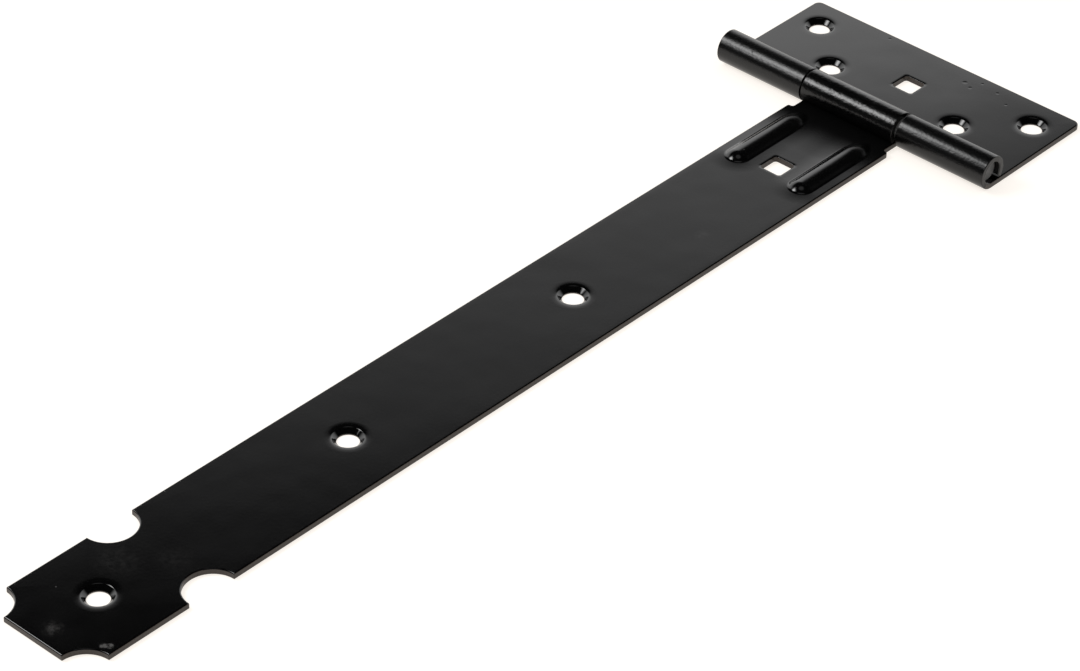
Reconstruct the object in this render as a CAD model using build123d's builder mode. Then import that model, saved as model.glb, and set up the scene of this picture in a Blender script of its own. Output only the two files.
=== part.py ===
"""Tee hinge: a long strap leaf and a short jamb plate, each pressed and rolled from one sheet, on one pin.

Millimetres. The back faces of both leaves lie on Z = 0 and +Z points out of the front. The strap runs
along +X and the pin along Y. The origin lies on the mounting plane, under the pin, halfway along the plate.
"""

from build123d import *

import os
from math import atan2, cos, degrees, radians, sin

# Sheet, pin and knuckles, shared by both leaves
sheet = 2.2
pin_diameter = 8.0
pin_clearance = 0.05  # radial, between the pin and the rolled knuckles
lip_drop = 36.0  # degrees below the pin's level at which each roll's free lip ends
edge_round = 0.5  # radius that the punch leaves on the front edges

# Strap leaf
strap_width = 45.0
strap_reach = 389.0  # pin axis to the strap's end
shoulder_step = 2.0  # how much the neck and the middle knuckle are narrower on each side
shoulder_gap = 3.75  # barrel to the shoulders where the neck widens
tip_notch_radius = 9.25
tip_notch_inset = 51.5  # strap's end to the centres of the two large notches
tip_corner_radius = 9.7

# Jamb plate
plate_length = 119.5
plate_reach = 52.5  # pin axis to the plate's outer edge
plate_corner_round = 2.5
slot_gap = 2.75  # barrel to the bottom of the slot behind the middle knuckle
slot_corner_round = 1.5
left_side_gap = 0.5  # the strap is pushed towards the plate's left knuckle
right_side_gap = 1.6

# Screw holes
hole_diameter = 7.5
countersink_diameter = 11.0
countersink_angle = 100.0
strap_hole_pitch = 106.3
tip_hole_inset = 26.2  # strap's end to the centre of its last hole
outer_hole_edge = 13.5  # plate's outer edge to its outer pair of holes
outer_hole_end = 11.5  # plate's ends to its outer pair of holes
inner_hole_reach = 20.0  # pin axis to the plate's inner pair of holes
inner_hole_spacing = 56.2

# Square holes for the carriage bolts
square_size = 8.8
square_round = 1.2
strap_square_reach = 43.5  # pin axis to the square hole in the strap
plate_square_reach = 30.0  # pin axis to the square hole in the plate

# Stiffening ribs, pressed up out of the strap
rib_spacing = 28.4
rib_width = 9.4
rib_rise = 2.0
rib_foot_round = 1.5
rib_length = 41.0
rib_setback = 1.5  # shoulders to the near ends of the ribs

# Pin
pin_recess = 2.0  # plate's ends to the pin's end faces
pin_chamfer = 0.5

# Sizes that follow
bore_radius = pin_diameter / 2 + pin_clearance
knuckle_radius = bore_radius + sheet
shoulder_reach = knuckle_radius + shoulder_gap
shoulder_round = 0.45 * shoulder_step
neck_width = strap_width - 2 * shoulder_step
slot_width = left_side_gap + neck_width + right_side_gap
slot_reach = knuckle_radius + slot_gap
strap_y = (left_side_gap - right_side_gap) / 2
strap_end_corners = [(strap_reach, strap_y + side * strap_width / 2) for side in (-1, 1)]
strap_notches = [(x - tip_notch_inset, y) for x, y in strap_end_corners]
strap_holes = [(strap_reach - tip_hole_inset - n * strap_hole_pitch, strap_y, sheet) for n in range(3)]
outer_hole_x = outer_hole_edge - plate_reach
outer_hole_y = plate_length / 2 - outer_hole_end
plate_holes = [(outer_hole_x, side * outer_hole_y, sheet) for side in (-1, 1)]
plate_holes += [(-inner_hole_reach, side * inner_hole_spacing / 2, sheet) for side in (-1, 1)]
rib_near = shoulder_reach + rib_setback + rib_width / 2
rib_far = shoulder_reach + rib_setback + rib_length - rib_width / 2
rib_rows = [strap_y - rib_spacing / 2, strap_y + rib_spacing / 2]

# The rib's section is a crown and two feet, each an arc, with the back offset from the front by the sheet
rib_half = rib_width / 2
crown_round = (rib_half**2 + rib_rise**2) / (2 * rib_rise) - rib_foot_round
crown_centre = (0, sheet + rib_rise - crown_round)
foot_centre = (rib_half, sheet + rib_foot_round)
rib_slope = degrees(atan2(foot_centre[1] - crown_centre[1], rib_half))


def knuckle_section(middle, side):
    """Section of a roll across the pin; its own leaf lies towards X * side, with its back on Z = 0."""
    lip = Vector(cos(radians(lip_drop)), -sin(radians(lip_drop)))
    with BuildSketch(Plane(origin=(0, middle, 0), x_dir=(side, 0, 0), z_dir=(0, -side, 0))) as section:
        with BuildLine():
            for radius in (knuckle_radius, bore_radius):
                CenterArc((0, knuckle_radius), radius, -90, -270 - lip_drop)
            Line((0, 0), (0, sheet))
            Line(*[lip * radius + (0, knuckle_radius) for radius in (bore_radius, knuckle_radius)])
        make_face()
    return section.sketch


def rib_section(x, y, whole):
    """Section of a rib in the plane at x: the half on its +Y side, or the whole."""
    with BuildSketch(Plane(origin=(x, y, 0), x_dir=(0, 1, 0), z_dir=(1, 0, 0))) as section:
        with BuildLine():
            for depth in (0, sheet):
                CenterArc(crown_centre, crown_round - depth, rib_slope, 90 - rib_slope)
                CenterArc(foot_centre, rib_foot_round + depth, 180 + rib_slope, 90 - rib_slope)
            Line((rib_half, 0), (rib_half, sheet))
            Line((0, rib_rise), (0, sheet + rib_rise))
        make_face()
        if whole:
            mirror(about=Plane.YZ)
    return section.sketch


def countersunk_holes(places):
    """Drill a countersunk screw hole at each place on the front face."""
    with Locations(*places):
        CounterSinkHole(hole_diameter / 2, countersink_diameter / 2, counter_sink_angle=countersink_angle)


def square_hole(x, y):
    """Punch a square hole for a carriage bolt's neck."""
    with BuildSketch() as square:
        with Locations((x, y)):
            RectangleRounded(square_size, square_size, square_round)
    extrude(square.sketch, amount=sheet, mode=Mode.SUBTRACT)


# Strap leaf: blank, ribs, rolled middle knuckle, holes
with BuildPart() as strap_leaf:
    with BuildSketch() as strap_blank:
        with Locations((shoulder_reach, strap_y)):
            Rectangle(strap_reach - shoulder_reach, strap_width, align=(Align.MIN, Align.CENTER))
        with Locations((0, strap_y)):
            Rectangle(shoulder_reach, neck_width, align=(Align.MIN, Align.CENTER))
        fillet(strap_blank.vertices().filter_by_position(Axis.X, shoulder_reach, shoulder_reach), shoulder_round)
        with Locations(*strap_notches):
            Circle(tip_notch_radius, mode=Mode.SUBTRACT)
        with Locations(*strap_end_corners):
            Circle(tip_corner_radius, mode=Mode.SUBTRACT)
    extrude(amount=sheet)
    front_edges = strap_leaf.faces().sort_by(Axis.Z)[-1].edges()
    fillet(front_edges.filter_by(lambda edge: edge.center().X > 0.001), edge_round)

    with BuildSketch():
        with Locations(*[((rib_near + rib_far) / 2, row) for row in rib_rows]):
            SlotOverall(rib_length, rib_width)
    extrude(amount=sheet, mode=Mode.SUBTRACT)
    for row in rib_rows:
        extrude(rib_section(rib_near, row, whole=True), amount=rib_far - rib_near)
        for x, up in ((rib_near, 1), (rib_far, -1)):
            revolve(rib_section(x, row, whole=False), Axis((x, row, 0), (0, 0, up)), revolution_arc=180)

    extrude(knuckle_section(strap_y, 1), amount=neck_width / 2, both=True)
    countersunk_holes(strap_holes)
    square_hole(strap_square_reach, strap_y)
strap_leaf.part.label = "strap_leaf"

# Jamb plate: blank, the whole edge rolled, then the slot cut for the middle knuckle
with BuildPart() as jamb_plate:
    with BuildSketch() as plate_blank:
        Rectangle(plate_reach, plate_length, align=(Align.MAX, Align.CENTER))
        fillet(plate_blank.vertices().group_by(Axis.X)[0], plate_corner_round)
    extrude(amount=sheet)
    front_edges = jamb_plate.faces().sort_by(Axis.Z)[-1].edges()
    fillet(front_edges.filter_by(lambda edge: edge.center().X < -0.001), edge_round)
    extrude(knuckle_section(0, -1), amount=plate_length / 2, both=True)
    with BuildSketch() as slot:
        with Locations((-slot_reach, 0)):
            Rectangle(slot_reach + knuckle_radius, slot_width, align=(Align.MIN, Align.CENTER))
        fillet(slot.vertices().group_by(Axis.X)[0], slot_corner_round)
    extrude(amount=2 * knuckle_radius, mode=Mode.SUBTRACT)
    countersunk_holes(plate_holes)
    square_hole(-plate_square_reach, 0)
jamb_plate.part.label = "jamb_plate"

# Pin, held just inside the ends of the plate's knuckles
with BuildPart() as hinge_pin:
    with BuildSketch(Plane.XZ):
        with Locations((0, knuckle_radius)):
            Circle(pin_diameter / 2)
    extrude(amount=plate_length / 2 - pin_recess, both=True)
    chamfer(hinge_pin.edges().filter_by(GeomType.CIRCLE), pin_chamfer)
hinge_pin.part.label = "hinge_pin"

os.makedirs("parts", exist_ok=True)
export_step(strap_leaf.part, "parts/strap_leaf.step")
export_step(jamb_plate.part, "parts/jamb_plate.step")
export_step(hinge_pin.part, "parts/hinge_pin.step")
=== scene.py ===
"""The finish of the tee hinge: pressed and rolled sheet, pin, black coating, white table and studio light.

Metres, in the frame of the solids: backs of both leaves on Z = 0, strap along +X, pin along Y. The holes' own
sizes and the marks on the coating are in millimetres, and are scaled where they are used.
"""

import math

import bmesh
import bpy
from mathutils import Matrix, Vector


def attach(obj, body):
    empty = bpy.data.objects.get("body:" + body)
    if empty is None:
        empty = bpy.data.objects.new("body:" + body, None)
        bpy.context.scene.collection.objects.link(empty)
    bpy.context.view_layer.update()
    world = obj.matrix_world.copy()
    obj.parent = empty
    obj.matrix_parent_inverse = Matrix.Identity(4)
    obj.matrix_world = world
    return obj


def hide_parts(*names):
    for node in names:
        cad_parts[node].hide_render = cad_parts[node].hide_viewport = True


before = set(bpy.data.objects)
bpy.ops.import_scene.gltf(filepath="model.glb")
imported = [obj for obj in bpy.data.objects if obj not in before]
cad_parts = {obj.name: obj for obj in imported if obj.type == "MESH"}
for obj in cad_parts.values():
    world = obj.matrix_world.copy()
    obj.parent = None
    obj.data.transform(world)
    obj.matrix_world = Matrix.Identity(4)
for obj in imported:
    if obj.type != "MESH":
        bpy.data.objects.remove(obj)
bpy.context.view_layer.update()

MM = 0.001
NEAR = 0.01 * MM  # as close as two places have to be to count as one

# Sheet, barrel and pin
SHEET = 2.2 * MM
BARREL_R = 6.25 * MM
LIP_DROP = math.radians(36)  # below the pin's level, where each roll's lip ends
EDGE_ROUND = 0.5 * MM
PIN_R = 4.0 * MM
PIN_REACH = 57.75 * MM

# Strap leaf
STRAP_Y = -0.55 * MM
STRAP_END = 389.0 * MM
STRAP_HALF = 22.5 * MM
NECK_HALF = 20.5 * MM
SHOULDER_X = 10.0 * MM
SHOULDER_ROUND = 0.9 * MM
NOTCHES = ((STRAP_END - 51.5 * MM, 9.25 * MM), (STRAP_END, 9.7 * MM))  # centre and radius, at both sides
RIB_START = 20.0 * MM
RIB_ASIDE = 14.2 * MM

# Jamb plate
PLATE_X = -52.5 * MM
PLATE_HALF = 59.75 * MM
PLATE_ROUND = 2.5 * MM
SLOT_X = -9.0 * MM
SLOT_HALF = 21.55 * MM
SLOT_ROUND = 1.5 * MM

# Holes, with their own sizes in millimetres
HOLE_R = 3.75
SQUARE_HALF = 4.4
SQUARE_ROUND = 1.2
STRAP_SCREWS = [(x * MM, STRAP_Y) for x in (150.2, 256.5, 362.8)]
STRAP_SQUARE = (43.5 * MM, STRAP_Y)
PLATE_SCREWS = [(x * MM, y * MM) for x, y in ((-39.0, -48.25), (-39.0, 48.25), (-20.0, -28.1), (-20.0, 28.1))]
PLATE_SQUARE = (-30.0 * MM, 0)


# ---------------------------------------------------------------- modelling


def deselect():
    """Leave edit mode and select nothing."""
    if bpy.context.mode != "OBJECT":
        bpy.ops.object.mode_set(mode="OBJECT")
    bpy.ops.object.select_all(action="DESELECT")


def take(piece):
    """Select one piece alone and make it the active one."""
    deselect()
    piece.select_set(True)
    bpy.context.view_layer.objects.active = piece


def work_on(piece):
    """Open one piece in edit mode with nothing in it selected."""
    take(piece)
    bpy.ops.object.mode_set(mode="EDIT")
    bpy.ops.mesh.select_all(action="DESELECT")


def new_piece(name):
    """An empty piece at the origin, open in edit mode."""
    deselect()
    bpy.ops.object.add(type="MESH", enter_editmode=True, location=(0, 0, 0))
    piece = bpy.context.object
    piece.name = piece.data.name = name
    return piece


def choose(kind, test):
    """In edit mode, select just the verts, edges or faces that pass the test."""
    mesh = bpy.context.edit_object.data
    form = bmesh.from_edit_mesh(mesh)
    bpy.ops.mesh.select_all(action="DESELECT")
    bpy.context.tool_settings.mesh_select_mode = [kind == k for k in ("verts", "edges", "faces")]
    for element in [e for e in getattr(form, kind) if test(e)]:
        element.select_set(True)
    if kind == "verts":
        form.select_flush(True)
    bmesh.update_edit_mesh(mesh)


def middle(edge):
    return (edge.verts[0].co + edge.verts[1].co) / 2


def modify(piece, kind, **settings):
    """Add a modifier and apply it."""
    take(piece)
    modifier = piece.modifiers.new(kind.lower(), kind)
    for name, value in settings.items():
        setattr(modifier, name, value)
    bpy.ops.object.modifier_apply(modifier=modifier.name)


def cut(piece, *tools):
    """Take each tool's body out of the piece."""
    for tool in tools:
        modify(piece, "BOOLEAN", operation="DIFFERENCE", solver="EXACT", object=tool)
        bpy.data.objects.remove(tool)


def slab(x0, x1, y, half):
    """Add a flat length of sheet in edit mode."""
    bpy.ops.mesh.select_all(action="DESELECT")
    bpy.ops.mesh.primitive_cube_add(
        size=1, location=((x0 + x1) / 2, y, SHEET / 2), scale=(x1 - x0, 2 * half, SHEET)
    )


def round_corners(x, radius, segments):
    """Round the sheet's upright corners at x, in edit mode."""
    choose("edges", lambda e: abs(middle(e).x - x) < NEAR and abs(middle(e).z - SHEET / 2) < NEAR)
    bpy.ops.mesh.bevel(offset=radius, segments=segments, affect="EDGES")


def roll(side):
    """Roll the end face at the pin's plane up and round the pin; side is 1 where the leaf lies towards -X."""
    choose("faces", lambda f: abs(f.calc_center_median().x) < NEAR and abs(f.normal.x) > 0.9)
    bpy.ops.mesh.spin(
        steps=76, angle=side * (1.5 * math.pi + LIP_DROP), center=(0, 0, BARREL_R), axis=(0, 1, 0)
    )


def ring_profile(rows):
    """Extrude the selected loop, which is the first row, through the others: each is a half width and a height."""
    size, height = rows[0]
    for next_size, next_height in rows[1:]:
        rise = next_height * MM - height * MM
        bpy.ops.mesh.extrude_region_move(TRANSFORM_OT_translate={"value": (0, 0, rise)})
        ratio = next_size / size
        if abs(ratio - 1) > 1e-9:
            bpy.ops.transform.resize(value=(ratio, ratio, 1), center_override=(0, 0, 0))
        size, height = next_size, next_height


def countersunk_hole():
    """Wall of a countersunk screw hole, with the sheet drawn down a little round it."""
    piece = new_piece("countersunk_hole")
    drawn_rim = [(8.2, 2.2), (7.6, 2.196), (6.9, 2.184), (6.3, 2.16), (5.9, 2.125), (5.62, 2.08), (5.42, 2.02)]
    cone = [(5.21, 1.9), (HOLE_R + 0.17, 0.65), (HOLE_R + 0.04, 0.54)]
    bore = [(HOLE_R, 0.46), (HOLE_R, 0.1), (HOLE_R + 0.08, 0.0)]
    bpy.ops.mesh.primitive_circle_add(vertices=80, radius=drawn_rim[0][0] * MM, location=(0, 0, SHEET))
    ring_profile(drawn_rim + cone + bore)
    return piece


def square_hole():
    """Wall of a square hole with rounded corners and a slightly drawn rim."""
    piece = new_piece("square_hole")
    bpy.ops.mesh.primitive_plane_add(size=2 * SQUARE_HALF * MM, location=(0, 0, SHEET))
    bpy.ops.mesh.bevel(offset=SQUARE_ROUND * MM, segments=7, affect="VERTICES")
    bpy.ops.mesh.delete(type="ONLY_FACE")
    bpy.ops.mesh.select_all(action="SELECT")
    half = SQUARE_HALF
    drawn_rim = [(half + 1.1, 2.2), (half + 0.6, 2.19), (half + 0.28, 2.155), (half + 0.09, 2.08)]
    wall = [(half, 1.96), (half, 0.08), (half + 0.06, 0.0)]
    first = drawn_rim[0][0] / half
    bpy.ops.transform.resize(value=(first, first, 1), center_override=(0, 0, 0))
    ring_profile(drawn_rim + wall)
    return piece


def spin_selected(centre, axis, degrees, steps):
    bpy.ops.mesh.spin(steps=steps, angle=math.radians(degrees), center=centre, axis=axis)


def rib():
    """Front and back skins of one stiffening rib, its near dome centred on the origin's axis."""
    piece = new_piece("rib")
    half, rise, foot, length = 5.2 * MM, 2.0 * MM, 1.5 * MM, 27.8 * MM
    near_run_out = 1.85  # how much longer than round the near dome is
    crown = (half**2 + rise**2) / (2 * rise) - foot
    crown_z = SHEET + rise - crown
    arc = 90 - math.degrees(math.atan2(SHEET + foot - crown_z, half))
    bpy.context.tool_settings.mesh_select_mode = [True, False, False]
    for top in (SHEET + rise, rise):
        bpy.ops.mesh.select_all(action="DESELECT")
        bpy.ops.mesh.primitive_plane_add(size=MM, location=(0, 0, top))
        bpy.ops.mesh.merge(type="CENTER")
        choose("verts", lambda v: not v.link_edges)
        spin_selected((0, 0, crown_z), (1, 0, 0), arc, 14)
        spin_selected((0, half, SHEET + foot), (1, 0, 0), -arc, 10)
    bpy.ops.mesh.select_all(action="SELECT")
    spin_selected((0, 0, 0), (0, 0, 1), -180, 32)
    bpy.ops.mesh.select_all(action="SELECT")
    bpy.ops.transform.resize(value=(near_run_out, 1, 1), center_override=(0, 0, 0))
    choose("verts", lambda v: abs(v.co.x) < NEAR and v.co.y > -NEAR)
    bpy.ops.mesh.extrude_region_move(TRANSFORM_OT_translate={"value": (length, 0, 0)})
    spin_selected((length, 0, 0), (0, 0, 1), 180, 32)
    bpy.ops.mesh.extrude_region_move(TRANSFORM_OT_translate={"value": (-length, 0, 0)})
    bpy.ops.mesh.select_all(action="SELECT")
    bpy.ops.mesh.remove_doubles(threshold=NEAR / 4)
    return piece


def open_sheet(piece):
    """Take off the flat front and back faces, to be filled again round what is pressed into them."""
    wide = 200 * MM * MM
    work_on(piece)
    choose("faces", lambda f: abs(f.normal.z) > 0.999 and f.calc_area() > wide
           and f.calc_center_median().z < 2 * SHEET)
    bpy.ops.mesh.delete(type="FACE")


def press_in(piece, master, places):
    """Join a copy of the master into the sheet at each place."""
    copies = []
    for x, y in places:
        take(master)
        bpy.ops.object.duplicate(linked=False)
        bpy.ops.transform.translate(value=(x, y, 0))
        copies.append(bpy.context.object)
    take(piece)
    for copy in copies:
        copy.select_set(True)
    bpy.ops.object.join()


def close_sheet(piece):
    """Fill the front and the back between all their open edges, and smooth the piece."""
    work_on(piece)
    for level in (SHEET, 0.0):
        choose("edges", lambda e: e.is_boundary and all(abs(v.co.z - level) < NEAR for v in e.verts))
        bpy.ops.mesh.fill(use_beauty=True)
    smooth(piece)


def smooth(piece):
    """Point every face outwards, and shade rounds smoothly while flats stay flat."""
    work_on(piece)
    bpy.ops.mesh.select_all(action="SELECT")
    bpy.ops.mesh.remove_doubles(threshold=NEAR / 10)
    bpy.ops.mesh.normals_make_consistent(inside=False)
    take(piece)
    bpy.ops.object.shade_smooth_by_angle(angle=math.radians(38))
    modify(piece, "WEIGHTED_NORMAL", keep_sharp=True, weight=50)


def round_edges(piece, side):
    """Round each sharp edge: most along the front and the bore, less along the back and the barrel's outside.

    The side is the sign of X on which the piece's leaf lies.
    """
    def depth(corner):
        """0 on the back of the sheet, also where it is rolled, and SHEET on its front."""
        if corner.co.z < SHEET + NEAR and corner.co.x * side > -NEAR:
            return corner.co.z
        return BARREL_R - math.hypot(corner.co.x, corner.co.z - BARREL_R)

    def sharp(edge):
        return edge.calc_face_angle(0) > math.radians(40)

    work_on(piece)
    for share, skin in ((1.0, SHEET), (0.5, 0.0)):
        choose("edges", lambda e: sharp(e) and all(skin - NEAR < depth(v) < skin + NEAR for v in e.verts))
        bpy.ops.transform.edge_bevelweight(value=share)
    choose("edges", lambda e: sharp(e) and abs(depth(e.verts[0]) - depth(e.verts[1])) > MM)
    bpy.ops.transform.edge_bevelweight(value=0.25)
    modify(piece, "BEVEL", width=EDGE_ROUND, segments=5, limit_method="WEIGHT", miter_outer="MITER_ARC",
           use_clamp_overlap=False)


def slot_punch():
    """What cuts the slot for the middle knuckle, up to above the barrel."""
    low, high = (SLOT_X, -SLOT_HALF, -2 * MM), (-SLOT_X, SLOT_HALF, 16 * MM)
    tool = new_piece("slot_punch")
    centre = [(a + b) / 2 for a, b in zip(low, high)]
    bpy.ops.mesh.primitive_cube_add(size=1, location=centre, scale=[b - a for a, b in zip(low, high)])
    choose("edges", lambda e: all(abs(v.co.x - SLOT_X) < NEAR for v in e.verts)
           and abs(e.verts[0].co.y - e.verts[1].co.y) < NEAR)
    bpy.ops.mesh.bevel(offset=SLOT_ROUND, segments=8, affect="EDGES")
    return tool


def round_punch(x, y, radius):
    tool = new_piece("round_punch")
    bpy.ops.mesh.primitive_cylinder_add(vertices=146, radius=radius, depth=8 * MM, location=(x, y, SHEET / 2))
    return tool


def make_plate():
    plate = new_piece("jamb_leaf")
    slab(PLATE_X, 0, 0, PLATE_HALF)
    round_corners(PLATE_X, PLATE_ROUND, 10)
    roll(1)
    cut(plate, slot_punch())
    round_edges(plate, -1)
    open_sheet(plate)
    press_in(plate, countersink, PLATE_SCREWS)
    press_in(plate, square, [PLATE_SQUARE])
    close_sheet(plate)
    return plate


def make_strap():
    strap = new_piece("strap_leaf_pressed")
    slab(SHOULDER_X, STRAP_END, STRAP_Y, STRAP_HALF)
    for side in (-1, 1):
        bpy.ops.mesh.select_all(action="SELECT")
        bpy.ops.mesh.bisect(plane_co=(0, STRAP_Y + side * NECK_HALF, 0), plane_no=(0, 1, 0))
    choose("faces", lambda f: abs(f.calc_center_median().x - SHOULDER_X) < NEAR
           and abs(f.calc_center_median().y - STRAP_Y) < NEAR)
    bpy.ops.mesh.extrude_region_move(TRANSFORM_OT_translate={"value": (-SHOULDER_X, 0, 0)})
    bpy.ops.mesh.select_all(action="SELECT")
    bpy.ops.mesh.dissolve_limited(angle_limit=math.radians(1))
    round_corners(SHOULDER_X, SHOULDER_ROUND, 8)
    roll(-1)
    for x, radius in NOTCHES:
        cut(strap, *[round_punch(x, STRAP_Y + side * STRAP_HALF, radius) for side in (-1, 1)])
    round_edges(strap, 1)
    open_sheet(strap)
    press_in(strap, countersink, STRAP_SCREWS)
    press_in(strap, square, [STRAP_SQUARE])
    press_in(strap, ridge, [(RIB_START, STRAP_Y - RIB_ASIDE), (RIB_START, STRAP_Y + RIB_ASIDE)])
    close_sheet(strap)
    return strap


def make_pin():
    """Cropped pin: rounded ends with a shallow dish from the shears."""
    rim, dish, end_round = 1.6 * MM, 0.12 * MM, 0.5 * MM
    pin = new_piece("pin")
    bpy.ops.mesh.primitive_cylinder_add(
        vertices=96, radius=PIN_R, depth=2 * PIN_REACH, location=(0, 0, BARREL_R), rotation=(math.pi / 2, 0, 0)
    )
    choose("faces", lambda f: abs(f.normal.y) > 0.9)
    bpy.ops.mesh.inset(thickness=rim, use_individual=True)
    for side in (-1, 1):
        choose("faces", lambda f: f.normal.y * side > 0.9 and abs(f.calc_center_median().x) < NEAR
               and len(f.verts) > 8)
        bpy.ops.transform.translate(value=(0, -side * dish, 0))
    choose("edges", lambda e: abs(abs(middle(e).y) - PIN_REACH) < NEAR
           and math.hypot(middle(e).x, middle(e).z - BARREL_R) > PIN_R - NEAR)
    bpy.ops.mesh.bevel(offset=end_round, segments=5, affect="EDGES")
    smooth(pin)
    return pin


# ---------------------------------------------------------------- shading


class Amount:
    """A number that varies over a surface: a socket of a node tree, with arithmetic that adds Math nodes."""

    def __init__(self, finish, socket):
        self.finish, self.socket = finish, socket

    def math(self, operation, *others):
        return self.finish.node("ShaderNodeMath", {"operation": operation}, [self, *others])

    def at_least(self, limit):
        return self.math("MAXIMUM", limit)

    def at_most(self, limit):
        return self.math("MINIMUM", limit)

    def __add__(self, other):
        return self.math("ADD", other)

    def __sub__(self, other):
        return self.math("SUBTRACT", other)

    def __rsub__(self, other):
        return self.finish.node("ShaderNodeMath", {"operation": "SUBTRACT"}, [other, self])

    def __mul__(self, other):
        return self.math("MULTIPLY", other)

    __radd__, __rmul__ = __add__, __mul__


class Finish:
    """A node tree for a surface or the world."""

    def __init__(self, owner):
        owner.use_nodes = True
        self.tree = owner.node_tree
        self.tree.nodes.clear()

    def node(self, kind, settings=None, inputs=None, out=0):
        """Add a node: its settings first, then the values or links of its sockets. Gives one of its outputs."""
        node = self.tree.nodes.new(kind)
        for name, value in (settings or {}).items():
            if name == "stops":
                ramp = node.color_ramp
                ramp.elements.remove(ramp.elements[1])
                ramp.elements[0].position = value[0][0]
                for place, _ in value[1:]:
                    ramp.elements.new(place)
                for element, (_, grey) in zip(ramp.elements, value):
                    element.color = (grey, grey, grey, 1)
            else:
                setattr(node, name, value)
        pairs = enumerate(inputs) if isinstance(inputs, list) else (inputs or {}).items()
        for key, value in pairs:
            if isinstance(value, Amount):
                self.tree.links.new(value.socket, node.inputs[key])
            else:
                node.inputs[key].default_value = value
        return Amount(self, node.outputs[out]) if node.outputs else None

    def noise(self, place, scale, detail=2.0, roughness=0.5):
        return self.node("ShaderNodeTexNoise", None, {"Vector": place, "Scale": scale, "Detail": detail,
                                                     "Roughness": roughness})

    def between(self, value, low, high):
        """0 where the value is under low and 1 where it is over high."""
        return self.node("ShaderNodeMapRange", {"interpolation_type": "SMOOTHSTEP"},
                         {"Value": value, "From Min": low, "From Max": high})

    def mix(self, factor, one, other):
        """A colour between two."""
        return self.node("ShaderNodeMix", {"data_type": "RGBA"}, {0: factor, 6: one, 7: other}, out=2)

    def bump(self, height):
        """A surface's normals, turned by a height in metres."""
        return self.node("ShaderNodeBump", None, {"Height": height, "Distance": 1.0, "Strength": 1.0})

    def end(self, surface):
        self.node("ShaderNodeOutputMaterial", None, {"Surface": surface})


# The lighter colour is for rubbed places and dust specks, and also for painted glints.
COATED, RUBBED_AND_GLINT = (0.0009, 0.0009, 0.001, 1), (0.05, 0.048, 0.046, 1)
# The dull black below is painted shade, put in the corner under the strap's roll.
PAINTED_SHADE_BLACK = (0.0012, 0.0012, 0.0012, 1)


def black_coat(name, peel, roll_roughness, bow, corner=None, scuffs_and_glints=(), pits=()):
    """Thin black gloss coating over steel sheet: dimpled on the rolls, with dust, small pits, rubbed places and
    painted glints.

    Peel is how deep its dimples are, bow the height by which the sheet itself is bent, and corner where painted
    shade makes it a dull black.
    A scuff, or a painted glint, has x, y, radius and strength, and a pit x, y and radius, in millimetres.
    """
    dimple_depth, wave_depth, speck_rise, pit_depth = 0.006 * MM * peel, 0.08 * MM, 0.02 * MM, 0.04 * MM
    material = bpy.data.materials.new(name)
    finish = Finish(material)
    place = finish.node("ShaderNodeTexCoord", out=3)
    x, y, z = [finish.node("ShaderNodeSeparateXYZ", None, [place], out=axis) for axis in "XYZ"]

    def spot(px, py, radius):
        away = finish.node("ShaderNodeVectorMath", {"operation": "DISTANCE"},
                           [place, (px * MM, py * MM, SHEET)], out="Value")
        return 1 - finish.between(away, 0.25 * radius * MM, radius * MM)

    raised, rolled = finish.between(z, 2.3 * MM, 3.2 * MM), finish.between(z, 4.3 * MM, 5.4 * MM)
    dimples, waves = finish.noise(place, 900.0), finish.noise(place, 32.0)
    grain, cloud = finish.noise(place, 2600.0, 2.0, 0.6), finish.noise(place, 70.0, 4.0, 0.6)
    cells = {"Vector": place, "Scale": 260.0}
    speck_distance = finish.node("ShaderNodeTexVoronoi", None, cells, out="Distance")
    speck_pick = finish.node("ShaderNodeTexVoronoi", None, cells, out="Color")
    picked = finish.between(finish.node("ShaderNodeSeparateColor", None, [speck_pick]), 0.955, 0.965)
    specks = picked * (1 - finish.between(speck_distance, 0.04, 0.10))
    marked = specks
    if scuffs_and_glints:
        rub_and_glint = sum(spot(px, py, radius) * strength for px, py, radius, strength in scuffs_and_glints)
        marked = specks + rub_and_glint * finish.between(finish.noise(place, 420.0, 4.0, 0.7), 0.36, 0.68)

    rough = 0.09 + raised * 0.05 + rolled * roll_roughness
    rough = rough + (cloud - 0.5) * 0.05 + (grain - 0.5) * 0.03 + marked * 0.2
    height = dimples * dimple_depth * (1 + raised + rolled * 15.0) + waves * wave_depth + specks * speck_rise
    for pit in pits:
        height = height - spot(*pit) * pit_depth
    bump = finish.bump(height + bow(x, y))
    surface = finish.node("ShaderNodeBsdfPrincipled", None, {
        "Base Color": finish.mix(marked, COATED, RUBBED_AND_GLINT), "Roughness": rough, "Normal": bump})
    # Painted shade: in the corner the gloss coat is mixed into a dull, near-black one, which hides what it would
    # reflect.
    if corner:
        shade_dull_coat = finish.node("ShaderNodeBsdfPrincipled", None, {
            "Base Color": PAINTED_SHADE_BLACK, "Roughness": 0.6, "Specular IOR Level": 0.08, "Normal": bump})
        surface = finish.node("ShaderNodeMixShader", None, [corner(finish, x, z), surface, shade_dull_coat])
    finish.end(surface)
    return material


def strap_bow(x, y):
    """The strap's front rises a little towards the roll and towards its ribs."""
    towards_roll = (31.0 * MM - x).at_least(0.0).at_most(24.7 * MM)
    aside = (y - STRAP_Y).math("ABSOLUTE") - RIB_ASIDE
    past = (x - 47.8 * MM).at_least(0.0)
    from_rib = (aside * aside + past * past).math("SQRT").at_least(4.5 * MM)
    towards_rib = (11.0 * MM - from_rib).at_least(0.0)
    return towards_roll * towards_roll * 1.6 + towards_rib * towards_rib * 3.2


def strap_corner_shade(finish, x, z):
    """Where the strap runs under its roll: painted shade, which dulls the corner there to black."""
    beside = (1 - finish.between(x, 12 * MM, 26 * MM)) * finish.between(x, 1.5 * MM, 4.5 * MM)
    return beside * (1 - finish.between(z, 4.8 * MM, 7.2 * MM))


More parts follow.
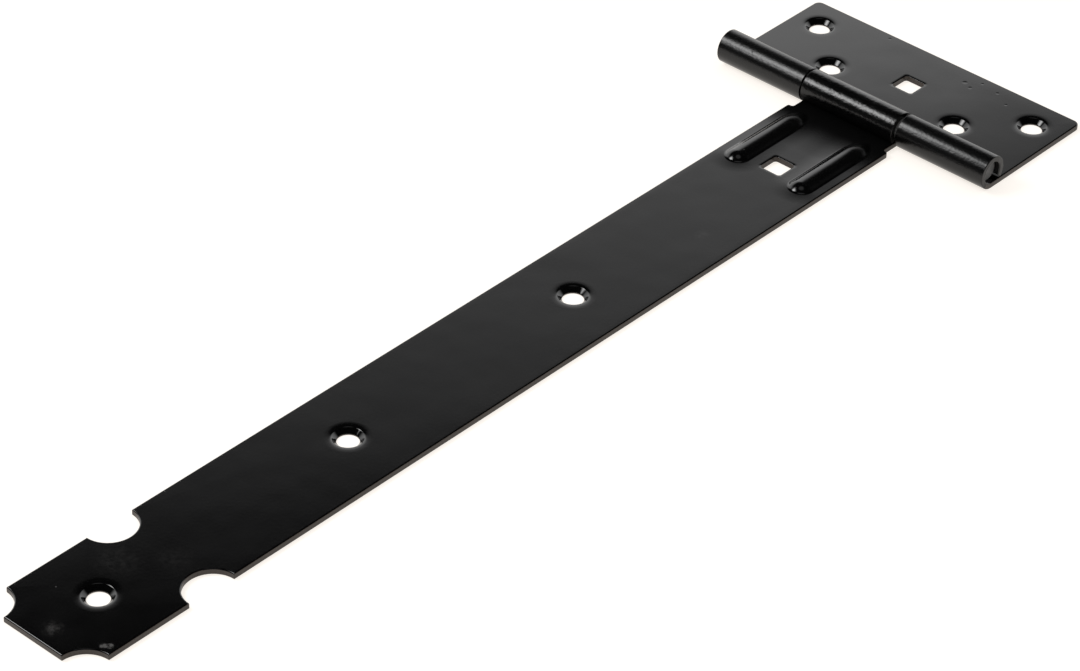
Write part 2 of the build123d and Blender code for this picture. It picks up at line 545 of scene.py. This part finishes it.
def plate_bow(x, y):
    """The plate falls away a little towards both ends, and its rolls are slightly flat across the top."""
    right, left = (y - 14.0 * MM).at_least(0.0), (-2.0 * MM - y).at_least(0.0)
    across_roll = x.at_least(-3.0 * MM).at_most(4.6 * MM)
    return right * right * -0.42 - left * left * 0.2 - across_roll * 0.074


def thin_coat(name, dark, light, roughness):
    """Thinly coated punched or cropped steel: rougher than the faces, with its colour showing through."""
    material = bpy.data.materials.new(name)
    finish = Finish(material)
    place = finish.node("ShaderNodeTexCoord", out=3)
    grain = finish.noise(place, 1400.0, 3.0, 0.6)
    finish.end(finish.node("ShaderNodeBsdfPrincipled", None, {
        "Base Color": finish.mix(grain, dark, light), "Roughness": roughness + grain * 0.12,
        "Normal": finish.bump(grain * (0.02 * MM))}))
    return material


# ---------------------------------------------------------------- table, light and camera

BEHIND = (-0.75, -0.66, 0.0)  # away from the camera, over the table
BACKDROP = ((0, 1.5), (31, 1.4), (33, 0.85), (36.5, 0.42), (40, 0.0))  # degrees above the table, brightness


def light_the_world():
    """White to the camera; soft even light on matt things; in gloss, a white backdrop and a dark room."""
    world = bpy.data.worlds.new("studio")
    bpy.context.scene.world = world
    world.cycles.sampling_method = "NONE"
    finish = Finish(world)
    direction = finish.node("ShaderNodeTexCoord", out=0)
    height = finish.node("ShaderNodeSeparateXYZ", None, [direction], out="Z")
    behind = finish.node("ShaderNodeVectorMath", {"operation": "DOT_PRODUCT"}, [direction, BEHIND], out="Value")
    stops = [(math.sin(math.radians(angle)), grey) for angle, grey in BACKDROP]
    backdrop = finish.node("ShaderNodeValToRGB", {"stops": stops}, [height])
    window = finish.between(0.0 - behind, 0.45, 0.75) * 0.3 + 0.05
    low = 1 - finish.between(height, 0.15, 0.5)
    ceiling = finish.between(height, 0.96, 0.985) * 0.45
    seen = finish.between(behind, 0.15, 0.5) * backdrop + window * low + ceiling + 0.015
    to_camera = finish.node("ShaderNodeLightPath", out="Is Camera Ray")
    in_gloss = finish.node("ShaderNodeLightPath", out="Is Glossy Ray")
    strength = to_camera + in_gloss * seen + (1 - to_camera) * (1 - in_gloss) * 0.6
    background = finish.node("ShaderNodeBackground", None, {"Color": (1, 1, 1, 1), "Strength": strength})
    finish.node("ShaderNodeOutputWorld", None, {"Surface": background})


def table():
    """White table, seen white, with the soft shadow of what lies on it."""
    deselect()
    bpy.ops.mesh.primitive_circle_add(vertices=96, radius=3, fill_type="NGON", location=(0.15, 0, -0.05 * MM))
    floor = bpy.context.object
    floor.name = "table"
    bpy.ops.object.transform_apply(location=True)
    material = bpy.data.materials.new("white_table")
    finish = Finish(material)
    to_camera = finish.node("ShaderNodeLightPath", out="Is Camera Ray")
    in_gloss = finish.node("ShaderNodeLightPath", out="Is Glossy Ray")
    finish.end(finish.node("ShaderNodeBsdfPrincipled", None, {
        "Base Color": (0.42, 0.42, 0.42, 1), "Roughness": 0.9, "Specular IOR Level": 0.0,
        "Emission Color": (1.0, 0.94, 0.87, 1), "Emission Strength": to_camera * 0.79 + in_gloss * 0.56}))
    floor.data.materials.append(material)


def key_light():
    """Soft light on the middle of the strap, in square layers that make its own middle brightest."""
    back = Vector((0.40, -0.545, 0.735)).normalized()
    for layer, (size, radiance) in enumerate(((0.58, 2.6), (0.42, 4.0), (0.26, 4.4))):
        data = bpy.data.lights.new("key_light_%d" % layer, "AREA")
        data.shape, data.size = "SQUARE", size
        data.energy = radiance * math.pi * size * size
        light = bpy.data.objects.new(data.name, data)
        bpy.context.scene.collection.objects.link(light)
        light.location = Vector((0.13, 0, 0)) + back * (1.25 - layer * 0.005)
        light.rotation_euler = back.to_track_quat("Z", "Y").to_euler()


def camera():
    """The photograph's viewpoint, found from the edges and holes of the hinge."""
    azimuth, elevation, turn = math.radians(41.409), math.radians(36.2494), math.radians(1.4005)
    aim, distance = Vector((172.468, 4.908, 0)) * MM, 1276.511 * MM
    back = Vector((math.cos(elevation) * math.cos(azimuth), math.cos(elevation) * math.sin(azimuth),
                   math.sin(elevation)))
    right = (-back).cross(Vector((0, 0, 1))).normalized()
    up = right.cross(-back)
    right, up = (right * math.cos(turn) + up * math.sin(turn), up * math.cos(turn) - right * math.sin(turn))
    data = bpy.data.cameras.new("camera")
    data.sensor_fit, data.sensor_width, data.lens = "HORIZONTAL", 36, 129.855
    data.clip_start, data.clip_end = 0.05, 20
    view = bpy.data.objects.new("camera", data)
    bpy.context.scene.collection.objects.link(view)
    view.matrix_world = Matrix.Translation(aim + back * distance) @ Matrix((right, up, back)).transposed().to_4x4()
    bpy.context.scene.camera = view


# ---------------------------------------------------------------- the hinge in its scene

countersink, square, ridge = countersunk_hole(), square_hole(), rib()
plate, strap, pin = make_plate(), make_strap(), make_pin()
for master in (countersink, square, ridge):
    bpy.data.objects.remove(master)
deselect()
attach(plate, "jamb_side")
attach(pin, "jamb_side")
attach(strap, "gate_side")
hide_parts("jamb_plate")
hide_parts("hinge_pin")
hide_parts("strap_leaf")

# The side faces' brown, lighter colour is partly the thin coat on sheared steel and partly a painted reflection of
# the warm table.
edge_coat_and_reflection = thin_coat("thinly_coated_edge_and_reflection", (0.018, 0.0135, 0.0105, 1), (0.085, 0.062, 0.047, 1), 0.24)
pin_coat = thin_coat("thinly_coated_pin", (0.1, 0.1, 0.1, 1), (0.25, 0.245, 0.236, 1), 0.4)
plate_coat = black_coat("black_coated_plate", 0.55, 0.11, plate_bow, pits=(
    (-49.7, -23.9, 0.8), (-45.1, 13.9, 1.2), (-43.5, 17.4, 0.9),
    (-48.7, 19.1, 0.7), (-47.4, 26.8, 0.8), (-43.4, 33.5, 0.7)))
# The two strong spots by the tip's corner, at 377.6 and 376.4 mm, are a painted highlight: the lamp's glint on the
# bent-down corner. The other spots are rubbed places.
strap_coat = black_coat("black_coated_strap", 0.85, 0.05, strap_bow, corner=strap_corner_shade, scuffs_and_glints=(
    (382.6, 1.2, 4.5, 0.5), (377.6, 17.9, 1.5, 3.0), (376.4, 19.3, 1.5, 3.0),
    (348.0, -8.0, 10.0, 0.12), (335.0, 4.0, 8.0, 0.1), (94.0, 7.5, 3.5, 0.3)))
for piece, coat in ((plate, plate_coat), (strap, strap_coat)):
    piece.data.materials.append(coat)
    piece.data.materials.append(edge_coat_and_reflection)
    for face in piece.data.polygons:
        side_face = abs(face.normal.z) < 0.25 and abs(face.center.x) > BARREL_R
        end_face = abs(face.normal.y) > 0.8
        if face.center.z < SHEET and (side_face or end_face):
            face.material_index = 1
pin.data.materials.append(pin_coat)

camera()
light_the_world()
table()
key_light()
bpy.context.scene.view_settings.view_transform = "Standard"
